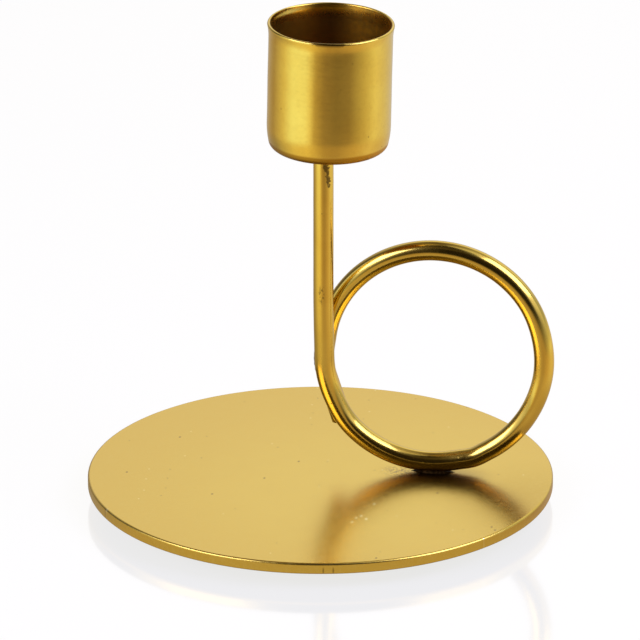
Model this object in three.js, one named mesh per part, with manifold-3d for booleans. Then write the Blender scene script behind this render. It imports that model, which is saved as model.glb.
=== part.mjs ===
// Candle holder for one dinner candle: a round plate on four pads, one bent rod that is both the stem and
// the finger ring, and a drawn cup on top. Millimetres, +Z up. The origin is on the table under the centre
// of the plate, and the finger ring lies towards +X.

import * as THREE from 'three';
import { mergeVertices } from 'three/addons/utils/BufferGeometryUtils.js';
import Module from 'manifold-3d';

// Foot pads under the plate
const padCount = 4;
const padDiameter = 10;
const padThickness = 3;
const padEdgeRadius = 0.5;
const padCircleDiameter = 56;

// Base plate
const plateDiameter = 92;
const plateThickness = 2.3;
const plateEdgeRadius = 0.45;

// Bent rod: the stem's place on the plate, the finger ring on the rod's centreline, and the cut tail
const rodDiameter = 4;
const stemOffsetX = 0.35;
const stemOffsetY = 2.3;
const ringDiameter = 43.5;
const coilGap = 0.2;
const coilRiseTurns = 0.92;
const tailCurveDegrees = 16;
const tailLength = 9.3;

// The stem doesn't turn into the ring at once: it eases in from above, is deepest a little way down the
// ring, and then runs out into the circle
const easeInStartDegrees = -36;
const easeInPeakDegrees = 22;
const easeInEndDegrees = 42;
const easeInDepth = 0.3;

// Candle cup: its underside is measured from the top of the plate
const cupUndersideHeight = 68;
const cupHeight = 25.5;
const cupDiameter = 24.3;
const cupWall = 0.7;
const lipFlare = 0.28;
const lipHeight = 2.8;
const heelRadius = 1.5;
const heelBlendRadius = 18;
const heelBlendDegrees = 12;

// The cup sits a little off the stem and leans a little towards the ring, as it was welded
const cupOffset = 0.95;
const cupLeanDegrees = 1.2;

// Welds, and the gaps that they bridge
const rodFitUpGap = 0.1;
const weldGap = 0.3;
const cupWeldHeight = 0.5;
const cupWeldBulge = 0.12;
const baseWeldLength = 9;
const baseWeldReach = 1.8;
const baseWeldHeight = 0.6;
const tailWeldLength = 6;
const tailWeldDegrees = 6;

// Fineness of the facets
const plateSegments = 96;
const cupSegments = 60;
const padSegments = 24;
const rodSides = 20;
const rodSteps = 140;
const edgeDivisions = 2;
const cupDivisions = 3;
const beadDivisions = 3;
const beadSegments = 24;

// Heights that follow from the sizes above
const plateBottom = padThickness;
const plateTop = plateBottom + plateThickness;
const plateRadius = plateDiameter / 2;
const rodRadius = rodDiameter / 2;
const ringRadius = ringDiameter / 2;
const ringCentreHeight = plateTop + rodFitUpGap + rodRadius + ringRadius;
const cupUnderside = plateTop + cupUndersideHeight;
const stemTop = cupUnderside - weldGap - cupWeldHeight;
const coilRise = rodDiameter + coilGap;

const goldMetal = { color: 0xd2b264, roughness: 0.32, metalness: 1 };
const finishes = {
  plate: { ...goldMetal, roughness: 0.38 },
  rod: { ...goldMetal, roughness: 0.28 },
  cup: { ...goldMetal, roughness: 0.3 },
  weld: { color: 0x8a7440, roughness: 0.6, metalness: 1 },
  pad: { color: 0x2c2a28, roughness: 0.95, metalness: 0 },
};

const holder = new THREE.Group();

function addPiece(parent, name, geometry, finish) {
  const mesh = new THREE.Mesh(geometry, new THREE.MeshStandardMaterial(finish));
  mesh.name = name;
  parent.add(mesh);
  return mesh;
}

// Turns a side profile (radius, height) that starts and ends on the axis into a solid about +Z
function revolve(profile, segments, divisions) {
  const geometry = new THREE.LatheGeometry(profile.getPoints(divisions), segments);
  return geometry.rotateX(Math.PI / 2);
}

// Base plate: a flat disc with softened edges
function plateGeometry() {
  const profile = new THREE.Path();
  const edge = plateEdgeRadius;
  profile.moveTo(0, plateBottom);
  profile.lineTo(plateRadius - edge, plateBottom);
  profile.absarc(plateRadius - edge, plateBottom + edge, edge, -Math.PI / 2, 0, false);
  profile.lineTo(plateRadius, plateTop - edge);
  profile.absarc(plateRadius - edge, plateTop - edge, edge, 0, Math.PI / 2, false);
  profile.lineTo(0, plateTop);
  return revolve(profile, plateSegments, edgeDivisions);
}

// Foot pad: a soft disc, rounded where it meets the table
function padGeometry() {
  const profile = new THREE.Path();
  const padRadius = padDiameter / 2;
  profile.moveTo(0, 0);
  profile.lineTo(padRadius - padEdgeRadius, 0);
  profile.absarc(padRadius - padEdgeRadius, padEdgeRadius, padEdgeRadius, -Math.PI / 2, 0, false);
  profile.lineTo(padRadius, padThickness);
  profile.lineTo(0, padThickness);
  return revolve(profile, padSegments, edgeDivisions);
}

// The finger ring as part of the rod's centreline, by degrees from the stem's side. It starts above the ring,
// on the stem, goes down the left side and once round, and drifts back by one rod so that it passes behind
// the stem.
class RingCurve extends THREE.Curve {
  constructor(firstDegrees, lastDegrees) {
    super();
    this.firstDegrees = firstDegrees;
    this.lastDegrees = lastDegrees;
  }

  getPoint(t, target = new THREE.Vector3()) {
    return this.pointAt(THREE.MathUtils.lerp(this.firstDegrees, this.lastDegrees, t), target);
  }

  pointAt(degrees, target = new THREE.Vector3()) {
    const turnedDegrees = Math.max(degrees, 0);
    const angle = THREE.MathUtils.degToRad(turnedDegrees);
    const drift = coilRise * THREE.MathUtils.smoothstep(turnedDegrees / 360, 0, coilRiseTurns);
    const easeIn = THREE.MathUtils.smoothstep(degrees, easeInStartDegrees, easeInPeakDegrees);
    const easeOut = THREE.MathUtils.smoothstep(degrees, easeInPeakDegrees, easeInEndDegrees);
    const radius = ringRadius - easeInDepth * easeIn * (1 - easeOut);
    const stemLength = ringRadius * THREE.MathUtils.degToRad(turnedDegrees - degrees);
    return target.set(
      stemOffsetX + ringRadius - radius * Math.cos(angle),
      stemOffsetY + drift,
      ringCentreHeight - radius * Math.sin(angle) + stemLength,
    );
  }
}

const ringCurve = new RingCurve(easeInStartDegrees, 360 + tailCurveDegrees);

// The whole rod: straight stem, ring and straight tail
function rodPath() {
  const path = new THREE.CurvePath();
  const ringStart = ringCurve.getPoint(0);
  const ringEnd = ringCurve.getPoint(1);
  const tailEnd = ringCurve.getTangent(1).multiplyScalar(tailLength).add(ringEnd);
  path.add(new THREE.LineCurve3(ringStart.clone().setZ(stemTop), ringStart));
  path.add(ringCurve);
  path.add(new THREE.LineCurve3(ringEnd, tailEnd));
  return path;
}

function rodGeometry(path, radius, steps) {
  const section = new THREE.Shape();
  section.absarc(0, 0, radius, 0, 2 * Math.PI, false);
  return new THREE.ExtrudeGeometry(section, {
    steps,
    extrudePath: path,
    curveSegments: rodSides / 2,
    bevelEnabled: false,
  });
}

// Candle cup, standing on its underside at height 0: a flat floor, a heel that blends into the wall, and a
// lip that flares and is rounded over. The inner skin runs at one wall's distance from the outer skin.
function cupGeometry() {
  const radius = cupDiameter / 2;
  const blendAngle = THREE.MathUtils.degToRad(heelBlendDegrees);
  const blendCentre = new THREE.Vector2(
    radius - heelBlendRadius,
    heelRadius + (heelBlendRadius - heelRadius) * Math.sin(blendAngle),
  );
  const heelCentre = new THREE.Vector2(
    blendCentre.x + (heelBlendRadius - heelRadius) * Math.cos(blendAngle),
    heelRadius,
  );
  const lipRadius = cupWall / 2;
  const lipCentre = new THREE.Vector2(radius + lipFlare - lipRadius, cupHeight - lipRadius);
  const flareStart = cupHeight - lipHeight;
  const flareMiddle = (flareStart + lipCentre.y) / 2;
  const innerHeel = heelRadius - cupWall;
  const innerBlend = heelBlendRadius - cupWall;

  const profile = new THREE.Path();
  profile.moveTo(0, 0);
  profile.lineTo(heelCentre.x, 0);
  profile.absarc(heelCentre.x, heelCentre.y, heelRadius, -Math.PI / 2, -blendAngle, false);
  profile.absarc(blendCentre.x, blendCentre.y, heelBlendRadius, -blendAngle, 0, false);
  profile.lineTo(radius, flareStart);
  profile.quadraticCurveTo(radius, flareMiddle, radius + lipFlare, lipCentre.y);
  profile.absarc(lipCentre.x, lipCentre.y, lipRadius, 0, Math.PI, false);
  profile.quadraticCurveTo(radius - cupWall, flareMiddle, radius - cupWall, flareStart);
  profile.lineTo(radius - cupWall, blendCentre.y);
  profile.absarc(blendCentre.x, blendCentre.y, innerBlend, 0, -blendAngle, true);
  profile.absarc(heelCentre.x, heelCentre.y, innerHeel, -blendAngle, -Math.PI / 2, true);
  profile.lineTo(0, cupWall);
  return revolve(profile, cupSegments, cupDivisions);
}

// Weld nugget on the rod's top end, just under the cup
function cupWeldGeometry() {
  const profile = new THREE.Path();
  const top = stemTop + cupWeldHeight;
  profile.moveTo(0, stemTop);
  profile.lineTo(rodRadius, stemTop);
  profile.quadraticCurveTo(rodRadius + 2 * cupWeldBulge, stemTop + cupWeldHeight / 2, rodRadius, top);
  profile.lineTo(0, top);
  return revolve(profile, beadSegments, beadDivisions);
}

// A flat-bottomed mound of weld metal on the plate
function moundGeometry() {
  const profile = new THREE.Path();
  profile.moveTo(0, 0);
  profile.lineTo(1, 0);
  profile.absarc(0, 0, 1, 0, Math.PI / 2, false);
  const mound = revolve(profile, beadSegments, beadDivisions);
  return mound.scale(baseWeldLength / 2, baseWeldReach / 2, baseWeldHeight);
}

const wasm = await Module();
wasm.setup();

function toSolid(geometry) {
  geometry.deleteAttribute('normal');
  geometry.deleteAttribute('uv');
  const merged = mergeVertices(geometry);
  const vertProperties = new Float32Array(merged.attributes.position.array);
  const triVerts = new Uint32Array(merged.index.array);
  return new wasm.Manifold(new wasm.Mesh({ numProp: 3, vertProperties, triVerts }));
}

function toGeometry(solid) {
  const mesh = solid.getMesh();
  const geometry = new THREE.BufferGeometry();
  geometry.setAttribute('position', new THREE.BufferAttribute(mesh.vertProperties, 3));
  geometry.setIndex(new THREE.BufferAttribute(mesh.triVerts, 1));
  geometry.computeVertexNormals();
  return geometry;
}

// The room that weld metal leaves round the rod
const rodRoom = toSolid(rodGeometry(rodPath(), rodRadius + weldGap, rodSteps));

// Beads on the near side (-1) and far side (+1) of the place where the ring stands on the plate
function baseWeldGeometry(side) {
  const contact = ringCurve.pointAt(90);
  const mound = moundGeometry();
  mound.translate(contact.x, contact.y + (side * baseWeldReach) / 2, plateTop);
  return toGeometry(toSolid(mound).subtract(rodRoom));
}

// Tack in the outer crease between the stem and the tail behind it: as thick as the crease takes with a weld
// gap to both rods, and flush with them outside
function tailWeldGeometry() {
  const stemSide = ringCurve.pointAt(tailWeldDegrees);
  const tailSide = ringCurve.pointAt(360 + tailWeldDegrees);
  const across = tailSide.clone().sub(stemSide).divideScalar(2);
  const middle = stemSide.clone().add(across);
  const outward = middle.clone().sub(new THREE.Vector3(stemOffsetX + ringRadius, middle.y, ringCentreHeight));
  outward.projectOnPlane(across.clone().normalize()).normalize();
  const roomRadius = rodRadius + weldGap;
  const beadRadius = (rodRadius ** 2 + across.lengthSq() - roomRadius ** 2) / (2 * (rodRadius + roomRadius));
  const crease = middle.addScaledVector(outward, rodRadius - beadRadius);
  const bead = new THREE.SphereGeometry(beadRadius, beadSegments, beadSegments / 2);
  bead.scale(1, 1, tailWeldLength / (2 * beadRadius));
  bead.rotateY(-THREE.MathUtils.degToRad(tailWeldDegrees));
  return bead.translate(crease.x, crease.y, crease.z);
}

// Pads, plate and rod stand upright
for (let i = 0; i < padCount; i += 1) {
  const angle = (2 * Math.PI * (i + 0.5)) / padCount;
  const pad = addPiece(holder, `foot_pad_${i + 1}`, padGeometry(), finishes.pad);
  pad.position.set((padCircleDiameter / 2) * Math.cos(angle), (padCircleDiameter / 2) * Math.sin(angle), 0);
}
addPiece(holder, 'base_plate', plateGeometry(), finishes.plate);
addPiece(holder, 'loop_rod', rodGeometry(rodPath(), rodRadius, rodSteps), finishes.rod);
addPiece(holder, 'base_weld_front', baseWeldGeometry(-1), finishes.weld);
addPiece(holder, 'base_weld_rear', baseWeldGeometry(1), finishes.weld);
addPiece(holder, 'tail_weld', tailWeldGeometry(), finishes.weld);
const cupWeld = addPiece(holder, 'cup_weld', cupWeldGeometry(), finishes.weld);
cupWeld.position.set(stemOffsetX, stemOffsetY, 0);

// The cup leans as one with its lip
const leaningCup = new THREE.Group();
leaningCup.position.set(stemOffsetX + cupOffset, stemOffsetY, cupUnderside);
leaningCup.rotation.y = THREE.MathUtils.degToRad(cupLeanDegrees);
addPiece(leaningCup, 'candle_cup', cupGeometry(), finishes.cup);
holder.add(leaningCup);

export default holder;
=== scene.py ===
"""Satin-gold candle holder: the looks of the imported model, in metres and in its own frame."""
import math

import bmesh
import bpy
from mathutils import Matrix, Vector, noise


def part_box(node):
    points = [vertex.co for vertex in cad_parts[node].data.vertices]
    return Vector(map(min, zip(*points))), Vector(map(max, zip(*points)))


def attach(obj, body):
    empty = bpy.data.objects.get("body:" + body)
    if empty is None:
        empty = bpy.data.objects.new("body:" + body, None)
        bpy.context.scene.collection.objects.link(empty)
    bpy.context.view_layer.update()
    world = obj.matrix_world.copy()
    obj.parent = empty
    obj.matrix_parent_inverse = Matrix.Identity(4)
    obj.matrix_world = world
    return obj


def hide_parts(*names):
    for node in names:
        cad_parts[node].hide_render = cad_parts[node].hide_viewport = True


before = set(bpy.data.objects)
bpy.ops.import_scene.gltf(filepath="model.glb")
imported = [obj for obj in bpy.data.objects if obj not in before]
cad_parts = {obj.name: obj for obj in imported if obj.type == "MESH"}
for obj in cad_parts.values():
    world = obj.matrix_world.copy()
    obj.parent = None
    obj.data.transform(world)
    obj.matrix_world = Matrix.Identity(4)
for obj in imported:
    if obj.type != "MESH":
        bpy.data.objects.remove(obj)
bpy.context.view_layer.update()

MM = 0.001

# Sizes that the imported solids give
PLATE_LOW, PLATE_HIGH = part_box("base_plate")
PLATE_RADIUS = PLATE_HIGH[0]
PLATE_BOTTOM = PLATE_LOW[2]
PLATE_TOP = PLATE_HIGH[2]
ROD_LOW, ROD_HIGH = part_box("loop_rod")
STEM_TOP = ROD_HIGH[2]

# Driving sizes of the pieces, as in the solids
PLATE_EDGE = 0.45*MM
ROD_RADIUS = 2.0*MM
ROD_CHAMFER = 0.25*MM
RING_START = -36
RING_CONTACT = 90
RISE_TURNS = 0.92
TAIL_CURVE = 16
TAIL_LENGTH = 9.3*MM
CUP_UNDERSIDE = PLATE_TOP + 68.0*MM
CUP_HEIGHT = 25.5*MM
CUP_RADIUS = 12.15*MM
CUP_WALL = 0.7*MM
LIP_FLARE = 0.28*MM
LIP_HEIGHT = 2.8*MM
HEEL_RADIUS = 1.5*MM
HEEL_BLEND = 18.0*MM
HEEL_BLEND_ANGLE = math.radians(12)
CUP_OFFSET = 0.95*MM
CUP_LEAN = math.radians(1.2)
PAD_COUNT = 4
PAD_EDGE = 0.5*MM

# Places that follow from them
RING_RADIUS = (ROD_HIGH[0] - ROD_LOW[0])/2 - ROD_RADIUS
STEM_X = ROD_LOW[0] + ROD_RADIUS
STEM_Y = ROD_LOW[1] + ROD_RADIUS
RING_X = STEM_X + RING_RADIUS
RING_Z = ROD_LOW[2] + ROD_RADIUS + RING_RADIUS
COIL_RISE = ROD_HIGH[1] - ROD_LOW[1] - 2*ROD_RADIUS

# Welds, fused to the metal here
WELD_HALF_LENGTH = 4.4*MM
WELD_REACH = 1.3*MM
WELD_OVERLAP = 0.05*MM
WELD_GRIP = math.radians(28)
WELD_HOLLOW = (0.15*MM, 0.1*MM)
WELD_END, WELD_TAPER = 0.03, 1.3
WELD_RIPPLE, WELD_RIPPLE_PITCH = 0.07, 1.15*MM
WELD_LUMP, WELD_LUMP_PITCH = 0.15, 1.7*MM
TAIL_WELD_LENGTH = 6.0*MM
TAIL_WELD_ANGLE = 6
TAIL_WELD_RADIUS = 0.55*MM
TAIL_WELD_OUT = 1.5*MM
TAIL_WELD_END = 0.05
TAIL_WELD_RIPPLE, TAIL_WELD_WAVES = 0.08, 16
CUP_WELD_OVERLAP = 0.1*MM

# Where the hand-bent ring leaves the circle: how far outwards, and the degrees where that starts, peaks and
# ends. The first, where the stem eases into the ring, is in the solids too.
RING_BENDS = [
    (-0.30*MM, (RING_START, 22, 42)),
    (0.20*MM, (94, 120, 168)),
    (0.22*MM, (103, 111, 120)),
    (-0.13*MM, (168, 192, 216)),
    (0.48*MM, (352, 369, 401)),
]

# Other unevenness of the real piece: depths in metres, angles in degrees
ROD_WAVER, ROD_WAVER_LENGTH = 0.024*MM, 5*MM
CUP_WAVER, CUP_WAVER_LENGTH = 0.06*MM, 7*MM
LIP_OPEN_AT = 152
LIP_OPEN_DEPTH = 0.26*MM
LIP_OPEN_FULL, LIP_OPEN_END = 8, 36

# How finely the round pieces are cut
PLATE_SEGMENTS = 256
CUP_SEGMENTS = 192
SMALL_SEGMENTS = 48
ROD_SIDES = 48
TAIL_WELD_SIDES = 16

# Marks on the plate, as places on its top in millimetres, and nicks in its rim in degrees
PLATE_DOTS = [
    (-4.9, 5.3), (-10.7, -4.0), (-20.0, -13.2), (24.0, -8.0), (-38.1, -3.8),
    (-29.9, 15.5), (15.3, -41.8), (36.1, -24.0), (36.9, -25.5),
]
# The last chip, on the left rim's edge, is a chip whose pale spot is also a painted glint
PLATE_CHIPS = [(12.2, -14.9), (9.4, -22.3), (10.3, -21.2), (11.4, -22.6), (8.8, -24.4), (-39.6, -23.4)]
RIM_NICKS = [-80.8, -83.2]
NICK_HEIGHT = PLATE_BOTTOM + 0.8*MM
DOT_REACH = (0.36*MM, 0.7*MM, 1.0*MM)
CHIP_REACH = (0.5*MM, 1.0*MM, 1.0*MM)
NICK_REACH = (0.3*MM, 1.0*MM, 1.1*MM)

# Painted light, an amber tint, soot and painted shade on the plate: places, the last three from the ring's
# contact, and how far they reach
PAINTED_LIGHT_SPOT = (12*MM, -8*MM, PLATE_TOP)
AMBER_PLACE, AMBER_REACH = (41*MM, -10*MM, PLATE_TOP), (20*MM, 24*MM, 2.0*MM)
SMEAR_OFFSET, SMEAR_REACH = Vector((-6.2*MM, -0.4*MM, 0)), (5.4*MM, 4.4*MM, 1.0*MM)
SIDE_SHADE_OFFSET, SIDE_SHADE_REACH = Vector((3*MM, -1.5*MM, 0)), (11*MM, 7*MM, 1.0*MM)
CONTACT_SHADE_OFFSET, CONTACT_SHADE_REACH = Vector((0, -1.5*MM, 0)), (7.5*MM, 3.6*MM, 1.0*MM)

# Painted shade and wear on the rod: degrees round the ring, and how far they reach
SHADED_FOOT = [(RING_CONTACT, (18*MM, 6*MM, 9*MM)), (118, (15*MM, 6*MM, 12*MM))]
SCUFF_ANGLE, SCUFF_OFFSET, SCUFF_REACH = 101, Vector((0, -0.8*MM, 1.7*MM)), (6*MM, 1.6*MM, 1.6*MM)
SCARS_PLACE = (STEM_X - 0.2*MM, STEM_Y - ROD_RADIUS, RING_Z + 13.7*MM)
SCARS_REACH = (0.9*MM, 1.2*MM, 2.6*MM)

# Drip marks on the stem in millimetres: right of its middle, below its top, half the width, half the length
DRIPS = [(0.7, 2.7, 0.75, 1.5), (1.0, 4.5, 0.4, 1.6), (1.2, 5.9, 0.38, 1.2), (1.3, 6.8, 0.45, 0.7)]

# The photograph's view
IMAGE_SIZE = 640
FOCAL_PIXELS = 8328.8
SENSOR_WIDTH = 36.0
CAMERA_AZIMUTH = 6.12
CAMERA_ELEVATION = 21.4
CAMERA_DISTANCE = 1.6356
CAMERA_TARGET = Vector((-0.08*MM, 0.0, 37.71*MM))
CAMERA_CLIP = 20

# Lamps, table and room. Each fade is where one zone of what metal sees gives way to the next: distances from
# the object's middle in metres on the table, and heights as the sine of the elevation in the room.
SOFTBOX_TARGET = Vector((0, 0, 0.04))
SOFTBOX_DISTANCE = 1.0
SOFTBOX_RADIANCE = 5.6
SOFTBOX_COLOUR = (0.52, 0.54, 1.0)
TABLE_HALF = 3.0
TABLE_GLOSS, TABLE_ROUGHNESS = 0.16, 0.1
FOOT_FADE, NEAR_FADE, MIDDLE_FADE = (0.05, 0.12), (0.15, 0.225), (0.26, 0.4)
UNDER_PLATE_FADE = (0.9*PLATE_RADIUS, 1.05*PLATE_RADIUS)
SKIRTING_FADE, WALLS_FADE, UPPER_FADE = (0.0, 0.35), (0.6, 0.78), (0.8, 0.97)


# Mesh helpers
def new_object(name, mesh, material, node):
    """Puts a finished mesh in the scene as the piece that stands for a node."""
    for polygon in mesh.polygons:
        polygon.use_smooth = True
    piece = bpy.data.objects.new(name, mesh)
    bpy.context.scene.collection.objects.link(piece)
    piece.data.materials.append(material)
    normals = piece.modifiers.new("even_normals", "WEIGHTED_NORMAL")
    normals.weight = 50
    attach(piece, "root")
    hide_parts(node)


def to_mesh(shape, name):
    mesh = bpy.data.meshes.new(name)
    shape.to_mesh(mesh)
    shape.free()
    return mesh


def smooth(value, low, high):
    """Zero below the low value, one above the high one, and eased between them."""
    t = min(max((value - low)/(high - low), 0.0), 1.0)
    return t*t*(3 - 2*t)


def arc(centre, radius, first, last, steps):
    """Points of an arc in the (radius, height) plane, angles in degrees."""
    points = []
    for i in range(steps + 1):
        angle = math.radians(first + (last - first)*i/steps)
        points.append((centre[0] + radius*math.cos(angle), centre[1] + radius*math.sin(angle)))
    return points


def bend(start, control, end, steps):
    """Points of a quadratic curve, without its first point."""
    points = []
    for i in range(1, steps + 1):
        t = i/steps
        points.append(tuple((1 - t)**2*a + 2*t*(1 - t)*b + t*t*c for a, b, c in zip(start, control, end)))
    return points


def upright(radius, low, high, steps):
    """Points of an upright wall, without its first point."""
    return [(radius, low + (high - low)*i/steps) for i in range(1, steps + 1)]


def revolve(name, profile, segments, place=None):
    """A closed solid from a side profile that starts and ends on the axis."""
    shape = bmesh.new()
    first = shape.verts.new((0, 0, profile[0][1]))
    last = shape.verts.new((0, 0, profile[-1][1]))
    rings = []
    for radius, height in profile[1:-1]:
        ring = []
        for i in range(segments):
            angle = 2*math.pi*i/segments
            ring.append(shape.verts.new((radius*math.cos(angle), radius*math.sin(angle), height)))
        rings.append(ring)
    for i in range(segments):
        j = (i + 1) % segments
        shape.faces.new((first, rings[0][j], rings[0][i]))
        for low, high in zip(rings, rings[1:]):
            shape.faces.new((low[i], low[j], high[j], high[i]))
        shape.faces.new((last, rings[-1][i], rings[-1][j]))
    if place:
        shape.transform(place)
    return to_mesh(shape, name)


def skin(shape, rings):
    """Closes a row of equal rings of vertices into a solid with flat ends."""
    count = len(rings[0])
    for near, far in zip(rings, rings[1:]):
        for k in range(count):
            m = (k + 1) % count
            shape.faces.new((near[k], near[m], far[m], far[k]))
    shape.faces.new(list(reversed(rings[0])))
    shape.faces.new(rings[-1])
    bmesh.ops.recalc_face_normals(shape, faces=shape.faces)


def sweep(name, path, radii, sides):
    """A closed round bar along a path, with its own radius at each point."""
    shape = bmesh.new()
    side = Vector((0, -1, 0))
    rings = []
    for i, point in enumerate(path):
        along = (path[min(i + 1, len(path) - 1)] - path[max(i - 1, 0)]).normalized()
        side = (side - along*side.dot(along)).normalized()
        across = along.cross(side)
        ring = []
        for k in range(sides):
            angle = 2*math.pi*k/sides
            offset = side*math.cos(angle) + across*math.sin(angle)
            ring.append(shape.verts.new(point + offset*radii[i]))
        rings.append(ring)
    skin(shape, rings)
    return to_mesh(shape, name)


def waver(mesh, depth, length):
    """Presses the skin in by up to a small depth here and there, as worked metal is never quite true."""
    presses = [(noise.noise(vertex.co/length) - 1)*depth/2*vertex.normal for vertex in mesh.vertices]
    for vertex, press in zip(mesh.vertices, presses):
        vertex.co += press


# Shader helpers
class Graph:
    """A short way to add and link shader nodes."""

    def __init__(self, tree):
        self.tree = tree
        tree.nodes.clear()

    def add(self, kind, settings=None, **inputs):
        made = self.tree.nodes.new(kind)
        for name, value in (settings or {}).items():
            setattr(made, name, value)
        for name, value in inputs.items():
            self.feed(made.inputs[name.replace("_", " ")], value)
        return made

    def feed(self, socket, value):
        if isinstance(value, bpy.types.NodeSocket):
            self.tree.links.new(value, socket)
        else:
            socket.default_value = value

    def math(self, operation, first, second=0.0, third=0.0):
        made = self.tree.nodes.new("ShaderNodeMath")
        made.operation = operation
        for socket, value in zip(made.inputs, (first, second, third)):
            self.feed(socket, value)
        return made.outputs[0]

    def vector(self, operation, first, second):
        made = self.tree.nodes.new("ShaderNodeVectorMath")
        made.operation = operation
        self.feed(made.inputs[0], first)
        self.feed(made.inputs[1], second)
        return made.outputs["Vector"]

    def length(self, vector):
        return self.add("ShaderNodeVectorMath", {"operation": "LENGTH"}, Vector=vector).outputs["Value"]

    def spread(self, value, low, high, out_low=0.0, out_high=1.0):
        made = self.add("ShaderNodeMapRange", {"interpolation_type": "SMOOTHSTEP"})
        for name, number in (("Value", value), ("From Min", low), ("From Max", high),
                             ("To Min", out_low), ("To Max", out_high)):
            self.feed(made.inputs[name], number)
        return made.outputs["Result"]

    def mix(self, factor, first, second):
        made = self.add("ShaderNodeMix", {"data_type": "RGBA"})
        self.feed(made.inputs[0], factor)
        self.feed(made.inputs[6], first)
        self.feed(made.inputs[7], second)
        return made.outputs[2]

    def ramp(self, factor, stops):
        """A colour ramp whose first stop is at zero and whose last is at one."""
        made = self.add("ShaderNodeValToRGB")
        self.feed(made.inputs[0], factor)
        elements = made.color_ramp.elements
        elements[0].color = stops[0][1]
        elements[1].color = stops[-1][1]
        for position, colour in stops[1:-1]:
            elements.new(position).color = colour
        return made.outputs["Color"]

    def grain(self, place, size, detail=4.0, stretch=None):
        """Noise whose lumps are about the given size in metres."""
        if stretch:
            place = self.vector("MULTIPLY", place, stretch)
        return self.add("ShaderNodeTexNoise", Vector=place, Scale=1/size, Detail=detail).outputs["Fac"]

    def specks(self, place, spacing, share, size, dimensions="3D"):
        """Sparse round dots: one in some of the cells of a random pattern."""
        cells = self.add("ShaderNodeTexVoronoi", {"voronoi_dimensions": dimensions}, Vector=place,
                         Scale=1/spacing)
        pick = self.add("ShaderNodeSeparateColor", Color=cells.outputs["Color"]).outputs["Red"]
        dot = self.spread(cells.outputs["Distance"], 0.4*size/spacing, size/spacing, 1.0, 0.0)
        return self.math("MULTIPLY", dot, self.math("LESS_THAN", pick, share))

    def largest(self, values):
        result = values[0]
        for value in values[1:]:
            result = self.math("MAXIMUM", result, value)
        return result

    def near(self, place, centre, reach):
        """One at a point, falling to zero at the given distances along X, Y and Z."""
        offset = self.vector("DIVIDE", self.vector("SUBTRACT", place, centre), reach)
        return self.spread(self.length(offset), 0.0, 1.0, 1.0, 0.0)


def rgb(red, green, blue):
    return (red, green, blue, 1.0)


def new_material(name):
    material = bpy.data.materials.new(name)
    material.use_nodes = True
    graph = Graph(material.node_tree)
    place = graph.add("ShaderNodeTexCoord").outputs["Object"]
    return material, graph, place


def finish_metal(graph, tone, gloss, height, depth):
    """Metal with the given colour, roughness and relief, the relief's depth in metres."""
    bump = graph.add("ShaderNodeBump", Height=height, Strength=1.0, Distance=depth)
    shader = graph.add("ShaderNodeBsdfPrincipled", Base_Color=tone, Roughness=gloss, Metallic=1.0,
                       Normal=bump.outputs["Normal"])
    graph.add("ShaderNodeOutputMaterial", Surface=shader.outputs["BSDF"])


# Tones of the metal and the rubber
GOLD = rgb(0.72, 0.50, 0.085)
DEEP_GOLD = rgb(0.66, 0.43, 0.065)
PALE_GOLD = rgb(0.80, 0.60, 0.16)
AMBER = rgb(0.53, 0.34, 0.035)
BROWN = rgb(0.14, 0.08, 0.02)
SOOT = rgb(0.2, 0.14, 0.05)
BARE_CHIP = rgb(0.95, 0.85, 0.45)
CUP_DEPTH_SHADE = rgb(0.4, 0.21, 0.018)
CUP_STAIN = rgb(0.58, 0.28, 0.018)
WELD_DARK = rgb(0.03, 0.016, 0.004)
WELD_PALE = rgb(0.1, 0.055, 0.015)
RUBBER_DARK = rgb(0.015, 0.015, 0.015)
RUBBER_PALE = rgb(0.05, 0.048, 0.045)

# Tones of the table and the room
TABLE_WHITE = rgb(0.94, 0.94, 0.93)
TABLE_PAINT = rgb(0.1, 0.1, 0.1)
TABLE_MIRROR = rgb(0.9, 0.85, 0.8)
# Painted shadow under the plate, as metal sees the table
UNDER_PLATE = rgb(0.06, 0.05, 0.04)
SOFT_SKY = rgb(0.3, 0.3, 0.3)
WHITE = rgb(1.0, 1.0, 1.0)


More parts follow.
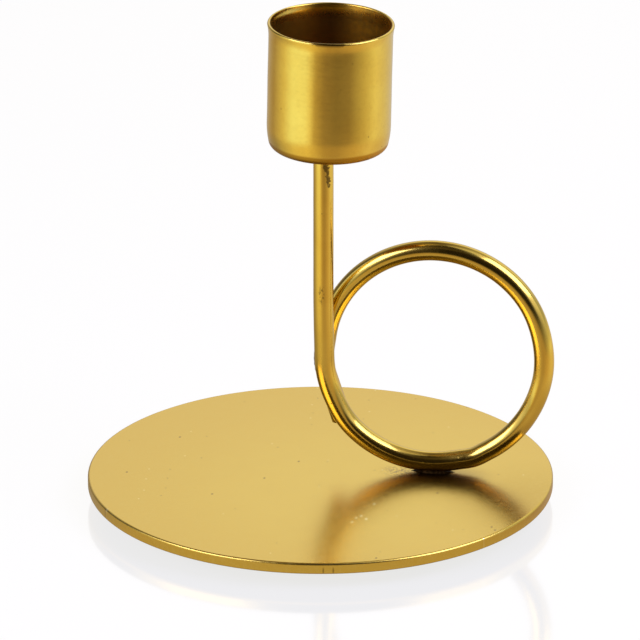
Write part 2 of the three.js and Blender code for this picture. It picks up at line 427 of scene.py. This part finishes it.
def plate_gold():
    """Satin plating with painted light, paler round one spot and deeper towards the rim: mottling, marks, an
    amber tint, soot smeared by the weld, and painted shade round the ring's contact.
    """
    material, graph, place = new_material("plate_gold")
    cloud = graph.grain(place, 6*MM)
    mottle = graph.grain(place, 0.8*MM, 3.0)
    pits = graph.specks(place, 5.0*MM, 0.16, 0.21*MM, "2D")
    # Dark dots and pale chips
    dots = [graph.near(place, (x*MM, y*MM, PLATE_TOP), DOT_REACH) for x, y in PLATE_DOTS]
    for degrees in RIM_NICKS:
        angle = math.radians(degrees)
        nick = (PLATE_RADIUS*math.cos(angle), PLATE_RADIUS*math.sin(angle), NICK_HEIGHT)
        dots.append(graph.near(place, nick, NICK_REACH))
    dots = graph.largest([pits] + dots)
    chips = [graph.near(place, (x*MM, y*MM, PLATE_TOP), CHIP_REACH) for x, y in PLATE_CHIPS]
    chips = graph.largest([graph.specks(place, 5.7*MM, 0.16, 0.2*MM, "2D")] + chips)
    # Colour
    # Painted light: paler round a spot in front of and right of the middle, deeper towards the rim
    outward = graph.length(graph.vector("SUBTRACT", place, PAINTED_LIGHT_SPOT))
    tone = graph.mix(graph.spread(outward, 14*MM, 58*MM, 0.0, 0.75), GOLD, DEEP_GOLD)
    tone = graph.mix(graph.spread(cloud, 0.3, 0.7, 0.0, 0.12), tone, DEEP_GOLD)
    # An amber tint over the right of the plate, out to its rim
    amber_patch = graph.near(place, AMBER_PLACE, AMBER_REACH)
    tone = graph.mix(graph.math("MULTIPLY", amber_patch, 0.6), tone, AMBER)
    tone = graph.mix(graph.spread(mottle, 0.35, 0.75, 0.0, 0.2), tone, PALE_GOLD)
    tone = graph.mix(graph.math("MULTIPLY", dots, 0.65), tone, BROWN)
    tone = graph.mix(graph.math("MULTIPLY", chips, 0.7), tone, BARE_CHIP)
    contact = ring_point(RING_CONTACT)
    contact.z = PLATE_TOP
    smear = graph.near(place, contact + SMEAR_OFFSET, SMEAR_REACH)
    smear = graph.math("MULTIPLY", smear, graph.spread(graph.grain(place, 0.5*MM), 0.4, 0.62))
    tone = graph.mix(graph.math("MULTIPLY", smear, 0.75), tone, SOOT)
    # Painted shade round the ring's contact: a wide patch to its right and front, and a darker one just in
    # front of it
    painted_shade = graph.math("MULTIPLY", graph.near(place, contact + SIDE_SHADE_OFFSET, SIDE_SHADE_REACH), 0.6)
    contact_shade = graph.math("MULTIPLY", graph.near(place, contact + CONTACT_SHADE_OFFSET, CONTACT_SHADE_REACH), 0.95)
    tone = graph.mix(graph.math("MAXIMUM", painted_shade, contact_shade), tone, BROWN)
    # Roughness and relief
    gloss = graph.spread(mottle, 0.25, 0.75, 0.22, 0.27)
    gloss = graph.math("MULTIPLY_ADD", smear, 0.04, gloss)
    height = graph.math("MULTIPLY_ADD", dots, -1.0, graph.math("MULTIPLY", mottle, 0.6))
    finish_metal(graph, tone, gloss, height, 0.004*MM)
    return material


def rod_gold():
    """Plated drawn wire: grain, pits, scars on the stem, drips under the cup, a foot with painted shade
    underneath and a scuff above.
    """
    material, graph, place = new_material("rod_gold")
    cloud = graph.grain(place, 5*MM)
    fine = graph.grain(place, 0.5*MM, 3.0)
    pits = graph.specks(place, 2.6*MM, 0.16, 0.2*MM)
    runs = graph.grain(place, 0.8*MM, 3.0)
    # Drips and scars on the stem
    shift = graph.vector("MULTIPLY", graph.math("SUBTRACT", runs, 0.5), (1.6*MM, 0, 0))
    shaken = graph.vector("ADD", place, shift)
    drips = []
    for right, below, wide, long in DRIPS:
        centre = (STEM_X + right*MM, STEM_Y - ROD_RADIUS, STEM_TOP - below*MM)
        drips.append(graph.near(shaken, centre, (wide*MM, 1.5*MM, long*MM)))
    drips = graph.largest(drips)
    drips = graph.math("MULTIPLY", graph.spread(drips, 0.05, 0.3), graph.spread(fine, 0.3, 0.5, 0.7, 1.0))
    chips = graph.grain(place, 0.4*MM, 2.0, (1.0, 1.0, 0.5))
    scars = graph.near(place, SCARS_PLACE, SCARS_REACH)
    scars = graph.math("MULTIPLY", scars, graph.spread(chips, 0.5, 0.6))
    marks = graph.largest([graph.math("MULTIPLY", pits, 0.5), drips, scars])
    # The ring's foot: painted shade underneath, scuffed above
    from_axis = graph.vector("MULTIPLY", graph.vector("SUBTRACT", place, (RING_X, 0, RING_Z)), (1, 0, 1))
    outward = graph.length(from_axis)
    underside = graph.spread(outward, RING_RADIUS - 0.3*ROD_RADIUS, RING_RADIUS + 0.6*ROD_RADIUS)
    foot_shade = graph.largest([graph.near(place, ring_point(degrees), reach) for degrees, reach in SHADED_FOOT])
    # Painted shade under the ring's foot, at its contact and on its right leg
    painted_shade = graph.math("MULTIPLY", underside, foot_shade)
    glints = graph.specks(place, 1.8*MM, 0.25, 0.22*MM)
    scuff = graph.near(place, ring_point(SCUFF_ANGLE) + SCUFF_OFFSET, SCUFF_REACH)
    scuff = graph.math("MULTIPLY", scuff, graph.spread(runs, 0.35, 0.6, 0.4, 1.0))
    # Colour, roughness and relief
    tone = graph.mix(graph.spread(cloud, 0.3, 0.7, 0.0, 0.6), GOLD, DEEP_GOLD)
    tone = graph.mix(graph.math("MULTIPLY", graph.math("MAXIMUM", marks, painted_shade), 0.8), tone, BROWN)
    gloss = graph.spread(fine, 0.25, 0.75, 0.14, 0.18)
    dull = graph.largest([glints, marks, graph.math("MULTIPLY", scuff, 0.45)])
    gloss = graph.math("MULTIPLY_ADD", dull, 0.4, gloss)
    height = graph.math("MULTIPLY_ADD", marks, -3.0, graph.math("MULTIPLY", fine, 0.4))
    finish_metal(graph, tone, gloss, height, 0.002*MM)
    return material


def cup_gold():
    """Plated drawn cup: soft bands round it from the press, a worn lip, and an inside with painted shade
    deeper down and at the back and a stain to the right.
    """
    material, graph, place = new_material("cup_gold")
    offset = graph.vector("SUBTRACT", place, (STEM_X + CUP_OFFSET, STEM_Y, CUP_UNDERSIDE))
    local = graph.add("ShaderNodeVectorRotate", {"rotation_type": "Y_AXIS"}, Vector=offset, Angle=-CUP_LEAN)
    local = local.outputs["Vector"]
    parts = graph.add("ShaderNodeSeparateXYZ", Vector=local).outputs
    radius = graph.length(graph.vector("MULTIPLY", local, (1, 1, 0)))
    inside = graph.spread(radius, CUP_RADIUS - 0.55*CUP_WALL, CUP_RADIUS - 0.4*CUP_WALL, 1.0, 0.0)
    cloud = graph.grain(place, 5*MM)
    bands = graph.grain(place, 2.0*MM, 4.0, (0.5, 0.5, 2.0))
    mottle = graph.grain(place, 0.9*MM, 3.0)
    fine = graph.grain(place, 0.5*MM, 3.0)
    pits = graph.specks(place, 2.4*MM, 0.2, 0.2*MM)
    # The worn front of the lip
    lip = graph.spread(parts["Z"], CUP_HEIGHT - 0.9*MM, CUP_HEIGHT - 0.4*MM)
    front = graph.near(local, (0.8*MM, -CUP_RADIUS, CUP_HEIGHT), (5.5*MM, 4.0*MM, 2.0*MM))
    rubbed = graph.math("ADD", front, graph.grain(place, 0.7*MM))
    worn = graph.math("MULTIPLY", lip, graph.spread(rubbed, 0.72, 0.95))
    # The inside: painted shade deeper down and at the back, and a stain to the right that takes the place of
    # the shade there
    deep = graph.spread(parts["Z"], CUP_HEIGHT - 4*MM, CUP_HEIGHT - 1.2*MM, 1.0, 0.0)
    deep = graph.math("MULTIPLY", inside, deep)
    stain = graph.math("MULTIPLY", inside, graph.spread(parts["X"], -4*MM, 8*MM))
    stain = graph.math("MULTIPLY", stain, graph.spread(mottle, 0.4, 0.62, 0.45, 1.0))
    # Painted shade on the inside of the back wall, from below the lip down
    back_shade = graph.near(local, (-1*MM, CUP_RADIUS, CUP_HEIGHT - 3*MM), (6*MM, 6*MM, 12*MM))
    back_shade = graph.math("MULTIPLY", inside, back_shade)
    # Colour, roughness and relief
    tone = graph.mix(graph.spread(cloud, 0.3, 0.7, 0.0, 0.5), GOLD, DEEP_GOLD)
    tone = graph.mix(graph.spread(mottle, 0.45, 0.7, 0.0, 0.05), tone, BROWN)
    # Painted shade deeper in the inside
    tone = graph.mix(graph.math("MULTIPLY", deep, 0.9), tone, CUP_DEPTH_SHADE)
    tone = graph.mix(graph.math("MULTIPLY", stain, 0.9), tone, CUP_STAIN)
    tone = graph.mix(graph.math("MULTIPLY", back_shade, 0.75), tone, BROWN)
    pits = graph.math("MULTIPLY", pits, graph.math("SUBTRACT", 1.0, inside))
    tone = graph.mix(graph.math("MULTIPLY", graph.math("MAXIMUM", worn, pits), 0.7), tone, BROWN)
    gloss = graph.spread(fine, 0.25, 0.75, 0.13, 0.18)
    dull = graph.math("MULTIPLY_ADD", deep, 0.18, graph.math("MULTIPLY_ADD", stain, 0.1, 0.05))
    gloss = graph.math("MULTIPLY_ADD", inside, dull, gloss)
    relief = graph.math("MULTIPLY_ADD", bands, 1.6, graph.math("MULTIPLY", fine, 0.25))
    relief = graph.math("MULTIPLY", relief, graph.math("SUBTRACT", 1.0, inside))
    finish_metal(graph, tone, gloss, relief, 0.008*MM)
    return material


def weld_metal():
    """Weld metal: dull, lumpy, sooty and near black; at the ring's contact that darkness is painted shade.
    """
    material, graph, place = new_material("weld_metal")
    lumps = graph.grain(place, 0.5*MM)
    tone = graph.mix(graph.spread(lumps, 0.4, 0.65), WELD_DARK, WELD_PALE)
    finish_metal(graph, tone, 0.6, lumps, 0.012*MM)
    return material


def pad_rubber():
    """Foam rubber: dark, matt and finely pored."""
    material, graph, place = new_material("pad_rubber")
    pores = graph.add("ShaderNodeTexVoronoi", Vector=place, Scale=1/(0.3*MM)).outputs["Distance"]
    tone = graph.mix(graph.spread(pores, 0.1, 0.6), RUBBER_DARK, RUBBER_PALE)
    bump = graph.add("ShaderNodeBump", Height=pores, Strength=0.6, Distance=0.1*MM)
    shader = graph.add("ShaderNodeBsdfPrincipled", Base_Color=tone, Roughness=0.9,
                       Normal=bump.outputs["Normal"])
    graph.add("ShaderNodeOutputMaterial", Surface=shader.outputs["BSDF"])
    return material


# The pieces
def make_plate(material):
    """A round flat disc with softened edges."""
    inner = PLATE_RADIUS - PLATE_EDGE
    profile = [(0, PLATE_BOTTOM), (inner/2, PLATE_BOTTOM)]
    profile += arc((inner, PLATE_BOTTOM + PLATE_EDGE), PLATE_EDGE, -90, 0, 8)
    profile += arc((inner, PLATE_TOP - PLATE_EDGE), PLATE_EDGE, 0, 90, 8)
    profile += [(inner/2, PLATE_TOP), (0, PLATE_TOP)]
    new_object("plate", revolve("plate", profile, PLATE_SEGMENTS), material, "base_plate")


def ring_point(degrees):
    """The rod's centreline from above the ring, down the stem and once round, drifting back by one rod."""
    turned = max(degrees, 0)
    angle = math.radians(turned)
    drift = COIL_RISE*smooth(turned/360, 0, RISE_TURNS)
    radius = RING_RADIUS
    for depth, (start, peak, end) in RING_BENDS:
        radius += depth*smooth(degrees, start, peak)*(1 - smooth(degrees, peak, end))
    above = RING_RADIUS*math.radians(turned - degrees)
    across, down = radius*math.cos(angle), radius*math.sin(angle)
    return Vector((RING_X - across, STEM_Y + drift, RING_Z - down + above))


def make_rod(material):
    """One bar: the stem, the ring and the straight tail behind the stem."""
    stem_steps, ring_steps, tail_steps = 40, 420, 12
    turn = 360 + TAIL_CURVE - RING_START
    ring = [ring_point(RING_START + turn*i/ring_steps) for i in range(ring_steps + 1)]
    top = Vector((STEM_X, STEM_Y, STEM_TOP))
    path = [top.lerp(ring[0], i/stem_steps) for i in range(stem_steps)] + ring
    heading = (ring[-1] - ring[-2]).normalized()
    straight = TAIL_LENGTH - ROD_CHAMFER
    path += [ring[-1] + heading*straight*i/tail_steps for i in range(1, tail_steps + 1)]
    path.append(ring[-1] + heading*TAIL_LENGTH)
    radii = [ROD_RADIUS]*(len(path) - 1) + [ROD_RADIUS - ROD_CHAMFER]
    mesh = sweep("bent_rod", path, radii, ROD_SIDES)
    waver(mesh, ROD_WAVER, ROD_WAVER_LENGTH)
    new_object("bent_rod", mesh, material, "loop_rod")


def open_lip(mesh, place):
    """Thins the inside of the cup's lip at the back left, where candles have pressed it open."""
    axes = place.to_3x3()
    back = place.inverted()
    inner, outer = CUP_RADIUS - 0.9*CUP_WALL, CUP_RADIUS + LIP_FLARE - 0.5*CUP_WALL
    for vertex in mesh.vertices:
        local = back @ vertex.co
        inside = 1 - smooth(math.hypot(local.x, local.y), inner, outer)
        upper = smooth(local.z, CUP_HEIGHT - 1.4*MM, CUP_HEIGHT - 0.1*MM)
        aside = abs(math.degrees(math.atan2(local.y, local.x)) - LIP_OPEN_AT)
        press = inside*upper*(1 - smooth(aside, LIP_OPEN_FULL, LIP_OPEN_END))
        outward = Vector((local.x, local.y, 0)).normalized()
        vertex.co += axes @ outward*press*LIP_OPEN_DEPTH


def make_cup(material):
    """A drawn sheet cup with a rounded heel and a slightly flared, rounded lip."""
    turn = math.degrees(HEEL_BLEND_ANGLE)
    blend_height = HEEL_RADIUS + (HEEL_BLEND - HEEL_RADIUS)*math.sin(HEEL_BLEND_ANGLE)
    blend_centre = (CUP_RADIUS - HEEL_BLEND, blend_height)
    heel_x = blend_centre[0] + (HEEL_BLEND - HEEL_RADIUS)*math.cos(HEEL_BLEND_ANGLE)
    heel_centre = (heel_x, HEEL_RADIUS)
    lip = CUP_WALL/2
    lip_centre = (CUP_RADIUS + LIP_FLARE - lip, CUP_HEIGHT - lip)
    flare = CUP_HEIGHT - LIP_HEIGHT
    middle = (flare + lip_centre[1])/2
    bore = CUP_RADIUS - CUP_WALL
    profile = [(0, 0), (heel_x/2, 0)]
    profile += arc(heel_centre, HEEL_RADIUS, -90, -turn, 12)
    profile += arc(blend_centre, HEEL_BLEND, -turn, 0, 12)[1:]
    profile += upright(CUP_RADIUS, blend_height, flare, 24)
    profile += bend((CUP_RADIUS, flare), (CUP_RADIUS, middle), (CUP_RADIUS + LIP_FLARE, lip_centre[1]), 10)
    profile += arc(lip_centre, lip, 0, 180, 12)[1:]
    profile += bend((bore + LIP_FLARE, lip_centre[1]), (bore, middle), (bore, flare), 10)
    profile += upright(bore, flare, blend_height, 24)
    profile += arc(blend_centre, HEEL_BLEND - CUP_WALL, 0, -turn, 12)[1:]
    profile += arc(heel_centre, HEEL_RADIUS - CUP_WALL, -turn, -90, 8)[1:]
    profile += [(heel_x/2, CUP_WALL), (0, CUP_WALL)]
    place = Matrix.Translation((STEM_X + CUP_OFFSET, STEM_Y, CUP_UNDERSIDE))
    place = place @ Matrix.Rotation(CUP_LEAN, 4, "Y")
    mesh = revolve("cup", profile, CUP_SEGMENTS, place)
    waver(mesh, CUP_WAVER, CUP_WAVER_LENGTH)
    open_lip(mesh, place)
    new_object("cup", mesh, material, "candle_cup")


def make_pads(material):
    """Round rubber pads under the plate, where the solids have them."""
    for number in range(1, PAD_COUNT + 1):
        name = f"pad_{number}"
        node = f"foot_pad_{number}"
        low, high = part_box(node)
        radius = (high[0] - low[0])/2
        height = high[2] - low[2]
        profile = [(0, 0), (radius/2, 0)]
        profile += arc((radius - PAD_EDGE, PAD_EDGE), PAD_EDGE, -90, 0, 6)
        profile += [(radius, height), (radius/2, height), (0, height)]
        place = Matrix.Translation(((low[0] + high[0])/2, (low[1] + high[1])/2, low[2]))
        mesh = revolve(name, profile, SMALL_SEGMENTS, place)
        new_object(name, mesh, material, node)


def make_base_weld(name, node, side, material):
    """A rippled fillet along the ring's contact with the plate, on its near (-1) or far (+1) side."""
    contact = ring_point(RING_CONTACT)
    outer = RING_RADIUS + ROD_RADIUS
    shape = bmesh.new()
    rings = []
    steps, rows = 72, 6
    for i in range(steps + 1):
        along = WELD_HALF_LENGTH*(2*i/steps - 1)
        fullness = WELD_END + (1 - WELD_END)*max(1 - (along/WELD_HALF_LENGTH)**2, 0.0)**WELD_TAPER
        ripple = 1 + WELD_RIPPLE*math.cos(2*math.pi*along/WELD_RIPPLE_PITCH)
        ripple += WELD_LUMP*noise.noise(Vector((along/WELD_LUMP_PITCH, side, 0)))
        centre = contact.z + outer - math.sqrt(outer**2 - along**2) - PLATE_TOP
        grip = WELD_GRIP*fullness
        touch_height = centre - (ROD_RADIUS - WELD_OVERLAP)*math.cos(grip)
        touch = (ROD_RADIUS*math.sin(grip), touch_height*fullness)
        toe = (touch[0] + (WELD_REACH - touch[0])*fullness*ripple, -WELD_OVERLAP)
        section = [(0, -WELD_OVERLAP), (0, touch[1]), touch]
        hollow = (touch[0] + WELD_HOLLOW[0], WELD_HOLLOW[1]*fullness)
        section += bend(touch, hollow, toe, rows)
        ring = []
        for out, up in section:
            ring.append(shape.verts.new((contact.x + along, contact.y + side*out, PLATE_TOP + up)))
        rings.append(ring)
    skin(shape, rings)
    new_object(name, to_mesh(shape, name), material, node)


def make_tail_weld(material):
    """A tack in the outer crease between the stem's bend and the tail behind it."""
    near, far = ring_point(TAIL_WELD_ANGLE), ring_point(360 + TAIL_WELD_ANGLE)
    middle = (near + far)/2
    outward = (middle - Vector((RING_X, middle.y, RING_Z))).normalized()
    along = outward.cross((far - near).normalized())
    steps = 28
    path = []
    radii = []
    for i in range(steps + 1):
        t = 2*i/steps - 1
        path.append(middle + outward*TAIL_WELD_OUT + along*t*TAIL_WELD_LENGTH/2)
        fullness = TAIL_WELD_END + (1 - TAIL_WELD_END)*math.sqrt(max(1 - t*t, 0.0))
        ripple = 1 + TAIL_WELD_RIPPLE*math.cos(TAIL_WELD_WAVES*t)
        radii.append(TAIL_WELD_RADIUS*fullness*ripple)
    mesh = sweep("weld_tail", path, radii, TAIL_WELD_SIDES)
    new_object("weld_tail", mesh, material, "tail_weld")


def make_cup_weld(material):
    """The fused end of the rod under the cup."""
    low = STEM_TOP - CUP_WELD_OVERLAP
    top = CUP_UNDERSIDE + CUP_WELD_OVERLAP
    neck = 1.005*ROD_RADIUS
    profile = [(0, low), (0.9*ROD_RADIUS, low), (neck, STEM_TOP)]
    profile += bend((neck, STEM_TOP), (1.02*ROD_RADIUS, top - 0.3*MM), (1.2*ROD_RADIUS, top), 8)
    profile += [(0, top)]
    place = Matrix.Translation((STEM_X, STEM_Y, 0))
    mesh = revolve("weld_cup", profile, SMALL_SEGMENTS, place)
    new_object("weld_cup", mesh, material, "cup_weld")


# Stage, light and camera
def around(azimuth, elevation, distance, target):
    """A point seen from the target at an azimuth from the viewer's side, positive to the right."""
    turn = math.radians(azimuth)
    lift = math.radians(elevation)
    level = math.cos(lift)
    return target + distance*Vector((math.sin(turn)*level, -math.cos(turn)*level, math.sin(lift)))


def make_camera():
    """The camera that took the photograph."""
    data = bpy.data.cameras.new("camera")
    data.sensor_width = SENSOR_WIDTH
    data.lens = FOCAL_PIXELS*SENSOR_WIDTH/IMAGE_SIZE
    data.clip_end = CAMERA_CLIP
    camera = bpy.data.objects.new("camera", data)
    camera.location = around(CAMERA_AZIMUTH, CAMERA_ELEVATION, CAMERA_DISTANCE, CAMERA_TARGET)
    camera.rotation_euler = (CAMERA_TARGET - camera.location).to_track_quat("-Z", "Y").to_euler()
    bpy.context.scene.collection.objects.link(camera)
    bpy.context.scene.camera = camera


def make_softbox(name, azimuth, elevation, width, height):
    """A rectangular softbox, its width and height given as the angles in degrees that it fills."""
    data = bpy.data.lights.new(name, "AREA")
    data.shape = "RECTANGLE"
    data.size = 2*SOFTBOX_DISTANCE*math.tan(math.radians(width/2))
    data.size_y = 2*SOFTBOX_DISTANCE*math.tan(math.radians(height/2))
    data.energy = SOFTBOX_RADIANCE*math.pi*data.size*data.size_y
    data.color = SOFTBOX_COLOUR
    lamp = bpy.data.objects.new(name, data)
    lamp.location = around(CAMERA_AZIMUTH + azimuth, elevation, SOFTBOX_DISTANCE, SOFTBOX_TARGET)
    lamp.rotation_euler = (SOFTBOX_TARGET - lamp.location).to_track_quat("-Z", "Y").to_euler()
    lamp.visible_camera = False
    bpy.context.scene.collection.objects.link(lamp)


def viewer_azimuth(graph, heading):
    """The azimuth of a direction from the viewer's side, as 0 to 1 from behind, past the left, to behind."""
    turned = graph.add("ShaderNodeVectorRotate", {"rotation_type": "Z_AXIS"}, Vector=heading,
                       Angle=-math.radians(CAMERA_AZIMUTH))
    parts = graph.add("ShaderNodeSeparateXYZ", Vector=turned.outputs["Vector"])
    towards = graph.math("MULTIPLY", parts.outputs["Y"], -1.0)
    angle = graph.math("ARCTAN2", parts.outputs["X"], towards)
    return graph.math("MULTIPLY_ADD", angle, 1/(2*math.pi), 0.5)


def by_azimuth(graph, azimuth, stops):
    """A colour that changes round the object, from stops in degrees, positive to the viewer's right."""
    return graph.ramp(azimuth, [(0.5 + degrees/360, rgb(*colour)) for degrees, colour in stops])


def make_world():
    """White to the camera; to metal, white walls behind and beside the object and a dark room in front."""
    world = bpy.data.worlds.new("studio")
    bpy.context.scene.world = world
    world.use_nodes = True
    graph = Graph(world.node_tree)
    heading = graph.add("ShaderNodeTexCoord").outputs["Generated"]
    azimuth = viewer_azimuth(graph, heading)
    height = graph.add("ShaderNodeSeparateXYZ", Vector=heading).outputs["Z"]
    skirting = by_azimuth(graph, azimuth, [
        (-180, (0.5, 0.45, 0.4)),
        (-127, (0.16, 0.15, 0.18)),
        (-110, (0.2, 0.2, 0.25)),
        (-80, (0.7, 0.7, 0.8)),
        (-40, (0.6, 0.6, 0.7)),
        (-26, (0.1, 0.08, 0.08)),
        (-10, (0.01, 0.01, 0.01)),
        (30, (0.02, 0.02, 0.02)),
        (55, (0.4, 0.4, 0.5)),
        (85, (0.7, 0.7, 0.8)),
        (112, (0.5, 0.55, 0.7)),
        (180, (0.5, 0.45, 0.4)),
    ])
    walls = by_azimuth(graph, azimuth, [
        (-180, (1.09, 1.08, 1.04)),
        (-160, (0.7, 0.7, 0.75)),
        (-142, (0.36, 0.36, 0.42)),
        (-127, (0.12, 0.12, 0.17)),
        (-108, (0.12, 0.12, 0.17)),
        (-92, (1.15, 1.2, 1.6)),
        (-40, (1.15, 1.2, 1.6)),
        (-27, (0.1, 0.08, 0.06)),
        (-12, (0.015, 0.01, 0.005)),
        (30, (0.03, 0.02, 0.015)),
        (42, (0.2, 0.2, 0.25)),
        (51, (1.0, 1.0, 1.3)),
        (90, (1.0, 1.05, 1.4)),
        (104, (0.45, 0.5, 0.65)),
        (113, (0.55, 0.6, 0.75)),
        (130, (1.05, 1.08, 1.15)),
        (180, (1.09, 1.08, 1.04)),
    ])
    upper = by_azimuth(graph, azimuth, [
        (-180, (0.2, 0.16, 0.14)),
        (-110, (0.15, 0.13, 0.13)),
        (-86, (0.25, 0.2, 0.17)),
        (-45, (0.25, 0.2, 0.17)),
        (-20, (0.1, 0.08, 0.06)),
        (10, (0.05, 0.04, 0.03)),
        (36, (0.2, 0.2, 0.2)),
        (52, (0.9, 0.9, 1.1)),
        (95, (0.9, 0.9, 1.1)),
        (125, (0.5, 0.5, 0.55)),
        (180, (0.25, 0.2, 0.18)),
    ])
    ceiling = by_azimuth(graph, azimuth, [
        (-180, (0.1, 0.08, 0.07)),
        (-82, (0.5, 0.42, 0.35)),
        (-32, (0.04, 0.03, 0.02)),
        (20, (0.04, 0.03, 0.02)),
        (75, (0.9, 0.9, 1.1)),
        (180, (0.1, 0.08, 0.07)),
    ])
    room = graph.mix(graph.spread(height, *SKIRTING_FADE), skirting, walls)
    room = graph.mix(graph.spread(height, *WALLS_FADE), room, upper)
    room = graph.mix(graph.spread(height, *UPPER_FADE), room, ceiling)
    path = graph.add("ShaderNodeLightPath")
    seen = graph.mix(path.outputs["Is Glossy Ray"], SOFT_SKY, room)
    direct = graph.math("MAXIMUM", path.outputs["Is Camera Ray"], path.outputs["Is Transmission Ray"])
    seen = graph.mix(direct, seen, WHITE)
    sky = graph.add("ShaderNodeBackground", Color=seen, Strength=1.0)
    graph.add("ShaderNodeOutputWorld", Surface=sky.outputs["Background"])


def table_material():
    """Glossy white table. Metal sees painted light and shade on it: dim towards the viewer, bright under the
    lamps and dark under the plate.
    """
    material = bpy.data.materials.new("table")
    material.use_nodes = True
    graph = Graph(material.node_tree)
    place = graph.add("ShaderNodeNewGeometry").outputs["Position"]
    azimuth = viewer_azimuth(graph, place)
    reach = graph.length(place)
    foot = by_azimuth(graph, azimuth, [
        (-180, (0.4, 0.36, 0.3)),
        (-95, (0.4, 0.35, 0.25)),
        (-60, (0.64, 0.55, 0.44)),
        (-30, (0.66, 0.58, 0.49)),
        (45, (0.64, 0.53, 0.42)),
        (80, (0.54, 0.42, 0.32)),
        (180, (0.5, 0.45, 0.4)),
    ])
    near = by_azimuth(graph, azimuth, [
        (-180, (0.5, 0.45, 0.4)),
        (-120, (0.4, 0.36, 0.34)),
        (-67, (1.05, 0.95, 0.68)),
        (-40, (1.1, 0.96, 0.62)),
        (-8, (0.6, 0.45, 0.3)),
        (15, (0.55, 0.41, 0.29)),
        (52, (0.8, 0.62, 0.42)),
        (85, (1.0, 0.88, 0.75)),
        (180, (0.65, 0.56, 0.4)),
    ])
    middle = by_azimuth(graph, azimuth, [
        (-180, (0.58, 0.54, 0.5)),
        (-125, (0.52, 0.42, 0.28)),
        (-92, (1.0, 0.95, 0.74)),
        (-72, (1.28, 1.47, 1.6)),
        (-46, (1.38, 1.57, 1.7)),
        (-36, (1.22, 1.2, 1.02)),
        (-27, (0.72, 0.59, 0.39)),
        (-10, (0.42, 0.33, 0.26)),
        (12, (0.33, 0.27, 0.22)),
        (36, (0.37, 0.3, 0.24)),
        (68, (0.8, 0.73, 0.56)),
        (92, (1.12, 1.11, 1.0)),
        (112, (1.0, 0.98, 0.9)),
        (180, (0.58, 0.54, 0.5)),
    ])
    far = by_azimuth(graph, azimuth, [
        (-180, (0.6, 0.6, 0.6)),
        (-115, (0.6, 0.58, 0.55)),
        (-67, (1.3, 1.35, 1.3)),
        (-20, (0.1, 0.08, 0.06)),
        (15, (0.02, 0.015, 0.01)),
        (90, (0.8, 0.78, 0.75)),
        (180, (0.6, 0.6, 0.6)),
    ])
    # Painted light and shade on the table, seen only by metal
    glow = graph.mix(graph.spread(reach, *FOOT_FADE), foot, near)
    glow = graph.mix(graph.spread(reach, *NEAR_FADE), glow, middle)
    glow = graph.mix(graph.spread(reach, *MIDDLE_FADE), glow, far)
    glow = graph.mix(graph.spread(reach, *UNDER_PLATE_FADE), UNDER_PLATE, glow)
    to_metal = graph.add("ShaderNodeEmission", Color=glow, Strength=1.0)
    path = graph.add("ShaderNodeLightPath")
    paint = graph.add("ShaderNodeBsdfDiffuse", Color=TABLE_PAINT)
    white = graph.add("ShaderNodeEmission", Color=TABLE_WHITE, Strength=path.outputs["Is Camera Ray"])
    body = graph.add("ShaderNodeAddShader")
    graph.feed(body.inputs[0], paint.outputs["BSDF"])
    graph.feed(body.inputs[1], white.outputs["Emission"])
    gloss = graph.add("ShaderNodeBsdfGlossy", Color=TABLE_MIRROR, Roughness=TABLE_ROUGHNESS)
    table = graph.add("ShaderNodeMixShader", Fac=TABLE_GLOSS)
    graph.feed(table.inputs[1], body.outputs["Shader"])
    graph.feed(table.inputs[2], gloss.outputs["BSDF"])
    chosen = graph.add("ShaderNodeMixShader", Fac=path.outputs["Is Glossy Ray"])
    graph.feed(chosen.inputs[1], table.outputs["Shader"])
    graph.feed(chosen.inputs[2], to_metal.outputs["Emission"])
    graph.add("ShaderNodeOutputMaterial", Surface=chosen.outputs["Shader"])
    return material


def make_table():
    """The table that the object stands on, at height zero."""
    mesh = bpy.data.meshes.new("table")
    half = TABLE_HALF
    corners = [(-half, -half, 0), (half, -half, 0), (half, half, 0), (-half, half, 0)]
    mesh.from_pydata(corners, [], [(0, 1, 2, 3)])
    table = bpy.data.objects.new("table", mesh)
    table.data.materials.append(table_material())
    bpy.context.scene.collection.objects.link(table)


make_plate(plate_gold())
make_rod(rod_gold())
make_cup(cup_gold())
make_pads(pad_rubber())
weld = weld_metal()
make_base_weld("weld_front", "base_weld_front", -1, weld)
make_base_weld("weld_rear", "base_weld_rear", 1, weld)
make_tail_weld(weld)
make_cup_weld(weld)
make_table()
make_world()
make_softbox("left_softbox", azimuth=-59, elevation=33.5, width=42, height=25)
make_softbox("right_softbox", azimuth=74, elevation=42, width=42, height=36)
make_camera()

bpy.context.scene.view_settings.view_transform = "Standard"
